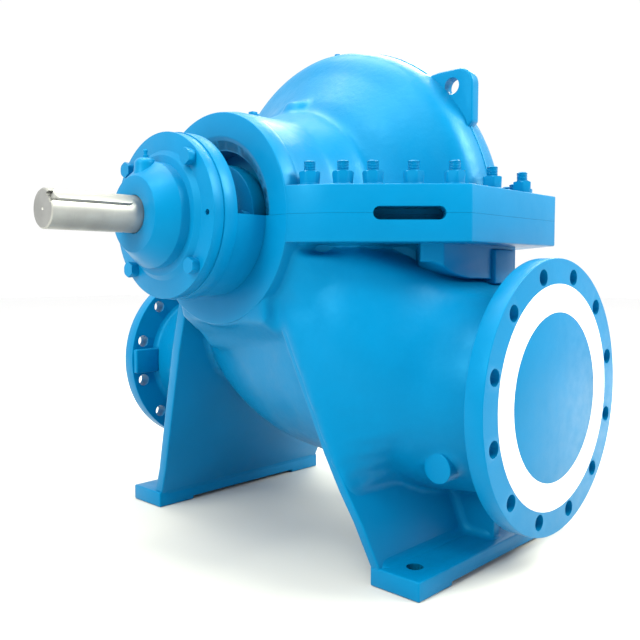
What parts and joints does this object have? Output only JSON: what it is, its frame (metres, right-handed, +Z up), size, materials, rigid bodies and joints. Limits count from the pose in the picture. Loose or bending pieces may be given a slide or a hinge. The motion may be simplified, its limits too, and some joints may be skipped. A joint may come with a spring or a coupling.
{
  "type": "split case pump",
  "caption": "Horizontal split case pump: double-suction casing parted at shaft height, side suction and discharge flanges, feet, lifting lugs and a keyed drive shaft between bearings.",
  "frame": {"origin": "bottom centre of the whole pump's box: midway between the shaft's drive end and the far bearing cover's nose, below the shaft's axis, on the floor under the feet. The pump's own centre plane is at X = 0.07625", "axes": "+X along the shaft from the coupling end to the blind end, +Y from the suction flange to the discharge flange, +Z up"},
  "size_m": [1.1284, 0.98, 0.9518],
  "materials": {
    "blue_paint": "semi-gloss paint over a cast skin",
    "white_face": "matt",
    "machined_steel": "turned",
    "key_steel": "ground"
  },
  "bodies": {
    "casing": {"lower_casing": "blue_paint", "upper_casing": "blue_paint", "suction_flange": "blue_paint", "discharge_flange": "blue_paint", "suction_cover_ring": "white_face", "suction_cover_disc": "blue_paint", "discharge_cover_ring": "white_face", "discharge_cover_disc": "blue_paint", "suction_side_leg": "blue_paint", "discharge_side_leg": "blue_paint", "suction_side_lug": "blue_paint", "discharge_side_lug": "blue_paint", "drive_bearing_bracket": "blue_paint", "nondrive_bearing_bracket": "blue_paint", "drive_bearing_cover": "blue_paint", "nondrive_bearing_cover": "blue_paint", "drive_gland": "blue_paint", "nondrive_gland": "blue_paint", "vent_plug": "blue_paint", "drive_neck_plug": "blue_paint", "nondrive_neck_plug": "blue_paint", "drive_grease_nipple": "blue_paint", "nondrive_grease_nipple": "blue_paint"},
    "rotor": {"shaft": "machined_steel", "shaft_key": "key_steel", "drive_shaft_sleeve": "machined_steel", "nondrive_shaft_sleeve": "machined_steel"}
  },
  "joints": [
    {"name": "rotor_spin", "type": "hinge", "parent": "casing", "child": "rotor", "pos_m": [0, 0, 0.6], "axis": [1, 0, 0], "continuous": true}
  ]
}
